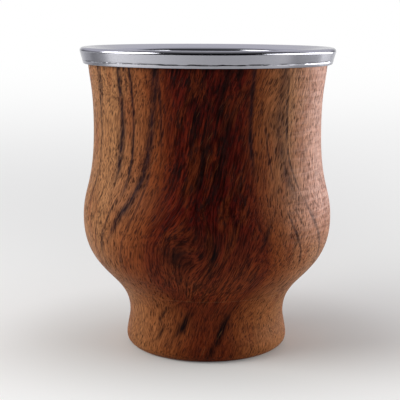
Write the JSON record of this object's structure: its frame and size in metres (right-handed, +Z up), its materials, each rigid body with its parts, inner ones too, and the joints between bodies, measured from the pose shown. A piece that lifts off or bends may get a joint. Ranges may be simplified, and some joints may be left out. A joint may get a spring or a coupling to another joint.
{
  "type": "wooden mate cup",
  "caption": "Turned hardwood mate cup with a foot, a swelling belly and a flared neck, lined with a drawn steel cup and capped at the lip by a rolled, hemmed steel ferrule.",
  "frame": {"origin": "centre of the foot, on the surface that the cup stands on", "axes": "+Z up along the axis that the cup was turned about; the picture looks along +Y"},
  "size_m": [0.08, 0.08, 0.0952],
  "materials": {
    "turned_wood": "oiled satin, reddish brown with dark streaks",
    "liner_steel": "satin, with fine rings from drawing and spinning",
    "rim_steel": "polished",
    "adhesive": "cured resin, matt"
  },
  "bodies": {
    "root": {"wooden_body": "turned_wood", "steel_liner": "liner_steel", "rim_ferrule": "rim_steel", "lip_glue_ring": "adhesive", "base_glue_pad": "adhesive"}
  },
  "joints": []
}
